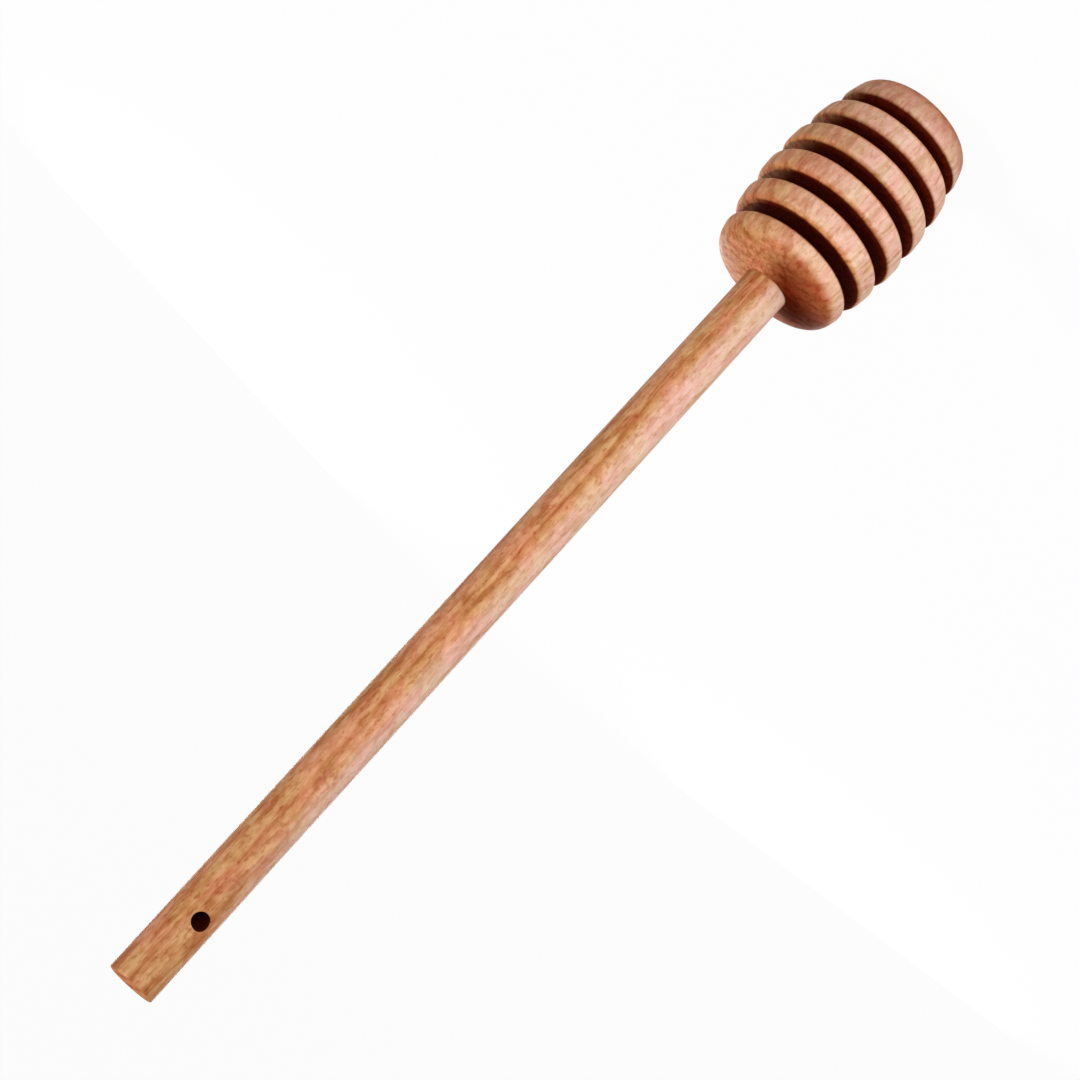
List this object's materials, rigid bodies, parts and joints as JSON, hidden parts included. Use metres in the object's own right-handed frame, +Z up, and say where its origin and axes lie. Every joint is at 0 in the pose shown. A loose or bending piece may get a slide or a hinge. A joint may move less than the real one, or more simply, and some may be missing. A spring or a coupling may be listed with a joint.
{
  "type": "honey dipper",
  "caption": "Wooden honey dipper: a grooved, barrel-shaped turned head on a round dowel handle with a hanging hole.",
  "frame": {"origin": "centre of the head's flat end, on which the dipper stands", "axes": "+Z up along the handle to its free end, the hanging hole runs along Y, X to the right when the hole is seen from the front (-Y)"},
  "size_m": [0.0274, 0.0274, 0.1892],
  "materials": {
    "handle_wood": "fine-sanded, lightly oiled beech",
    "head_wood": "turned and fine-sanded beech"
  },
  "bodies": {
    "root": {"handle": "handle_wood", "dipper_head": "head_wood"}
  },
  "joints": []
}
